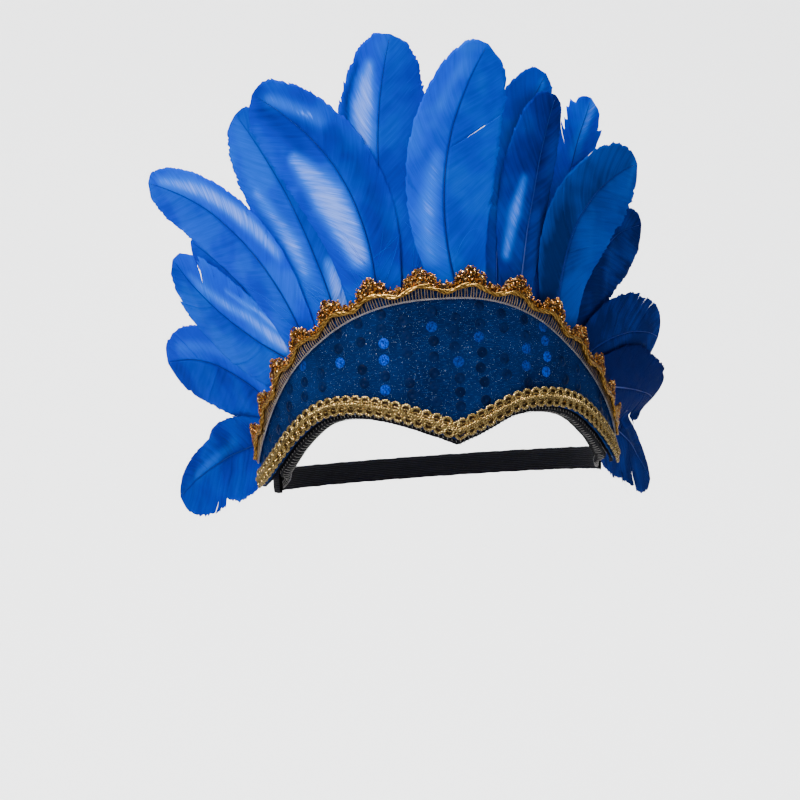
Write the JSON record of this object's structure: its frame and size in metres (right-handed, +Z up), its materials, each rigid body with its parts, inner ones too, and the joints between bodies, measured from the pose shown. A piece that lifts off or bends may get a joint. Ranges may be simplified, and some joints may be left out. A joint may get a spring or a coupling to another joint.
{
  "type": "feather headdress",
  "caption": "Feather headdress: a curved sequinned band with a V front, gimp braid, scalloped trim and felt lining, an elastic round the back, and a fan of feathers standing behind the band.",
  "frame": {"origin": "middle of the head opening, at the height where the elastic sits", "axes": "+Z up through the head opening, the sequinned band's front towards -Y, +X to the right as seen from the front"},
  "size_m": [0.2551, 0.1924, 0.2263],
  "materials": {
    "sequin_cloth": "navy knit with a metallic speckle and round sequins",
    "felt": "matt black felt",
    "gimp": "gold thread braid",
    "trim": "copper and gold thread trim with glitter",
    "elastic": "woven black elastic",
    "feather": "dyed feather with a soft sheen"
  },
  "bodies": {
    "root": {"front_panel": "sequin_cloth", "lining": "felt", "bottom_braid": "gimp", "top_trim": "trim", "elastic_strap": "elastic", "feather_left_1": "feather", "feather_left_2": "feather", "feather_left_3": "feather", "feather_left_4": "feather", "feather_left_5": "feather", "feather_left_6": "feather", "feather_left_7": "feather", "feather_left_8": "feather", "feather_right_1": "feather", "feather_right_2": "feather", "feather_right_3": "feather", "feather_right_4": "feather", "feather_right_5": "feather", "feather_right_6": "feather", "feather_right_7": "feather", "feather_right_8": "feather", "feather_right_9": "feather"}
  },
  "joints": []
}
